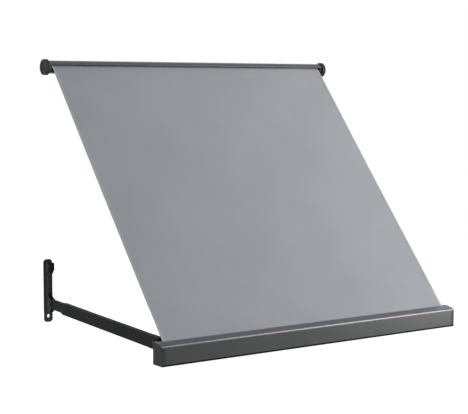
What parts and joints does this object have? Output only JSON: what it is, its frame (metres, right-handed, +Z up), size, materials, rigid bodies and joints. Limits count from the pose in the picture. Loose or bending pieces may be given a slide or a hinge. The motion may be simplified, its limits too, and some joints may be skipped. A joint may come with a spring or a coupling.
{
  "type": "window awning",
  "caption": "Drop-arm window awning pulled out: round cassette with spring roller, taut sloping fabric, hollow front bar and two arms on wall brackets.",
  "frame": {"origin": "centre of the left cassette bracket's back, on the wall, level with the roller's axis", "axes": "+X along the awning to its right end seen from outside, +Y into the wall, +Z up"},
  "size_m": [1.006, 0.6747, 0.7752],
  "materials": {
    "powder_coat": "satin",
    "zinc_steel": "satin",
    "blackened_steel": "satin",
    "black_plastic": "matte",
    "awning_fabric": "matte"
  },
  "bodies": {
    "wall_frame": {"cassette": "powder_coat", "cassette_cap_left": "black_plastic", "cassette_cap_right": "black_plastic", "cassette_bracket_left": "powder_coat", "cassette_bracket_right": "powder_coat", "clamp_screw_left": "zinc_steel", "clamp_screw_right": "zinc_steel", "spring_shaft": "zinc_steel", "spring_anchor": "black_plastic", "arm_bracket_left": "powder_coat", "arm_bracket_right": "powder_coat", "arm_clip_left": "black_plastic", "arm_clip_right": "black_plastic", "pivot_pin_left": "blackened_steel", "pivot_pin_right": "blackened_steel", "pin_ring_left": "blackened_steel", "pin_ring_right": "blackened_steel", "fabric_panel": "awning_fabric"},
    "roller": {"roller_tube": "zinc_steel", "roller_plug": "black_plastic", "roller_bush": "black_plastic", "roller_spring": "zinc_steel", "fabric_turns": "awning_fabric"},
    "arm_left": {"arm_knuckle_left": "powder_coat", "arm_tube_left": "powder_coat", "arm_fork_left": "powder_coat", "fork_pin_left": "blackened_steel"},
    "arm_right": {"arm_knuckle_right": "powder_coat", "arm_tube_right": "powder_coat", "arm_fork_right": "powder_coat", "fork_pin_right": "blackened_steel"},
    "front_bar": {"bar_profile": "powder_coat", "bar_cap_left": "black_plastic", "bar_cap_right": "black_plastic", "bar_hinge_left": "powder_coat", "bar_hinge_right": "powder_coat", "hinge_screw_left_inner": "zinc_steel", "hinge_screw_left_outer": "zinc_steel", "hinge_screw_right_inner": "zinc_steel", "hinge_screw_right_outer": "zinc_steel", "welt_rod": "black_plastic"}
  },
  "joints": [
    {"name": "arm_left_swing", "type": "hinge", "parent": "wall_frame", "child": "arm_left", "pos_m": [-0.105, -0.023, -0.682], "axis": [-1, 0, 0], "range_deg": [0, 84], "deforming": ["fabric_panel"]},
    {"name": "arm_right_swing", "type": "hinge", "parent": "wall_frame", "child": "arm_right", "pos_m": [0.845, -0.023, -0.682], "axis": [-1, 0, 0], "range_deg": [0, 84]},
    {"name": "bar_tilt", "type": "hinge", "parent": "arm_left", "child": "front_bar", "pos_m": [-0.105, -0.60669, -0.701], "axis": [-1, 0, 0], "range_deg": [-84, 0]},
    {"name": "roller_spin", "type": "hinge", "parent": "wall_frame", "child": "roller", "pos_m": [0.37, -0.045, 0], "axis": [-1, 0, 0], "range_deg": [0, 3910]}
  ],
  "couplings": [
    {"joint": "arm_right_swing", "follows": "arm_left_swing", "ratio": 1},
    {"joint": "bar_tilt", "follows": "arm_left_swing", "ratio": -1},
    {"joint": "roller_spin", "follows": "arm_left_swing", "ratio": 46.5}
  ]
}
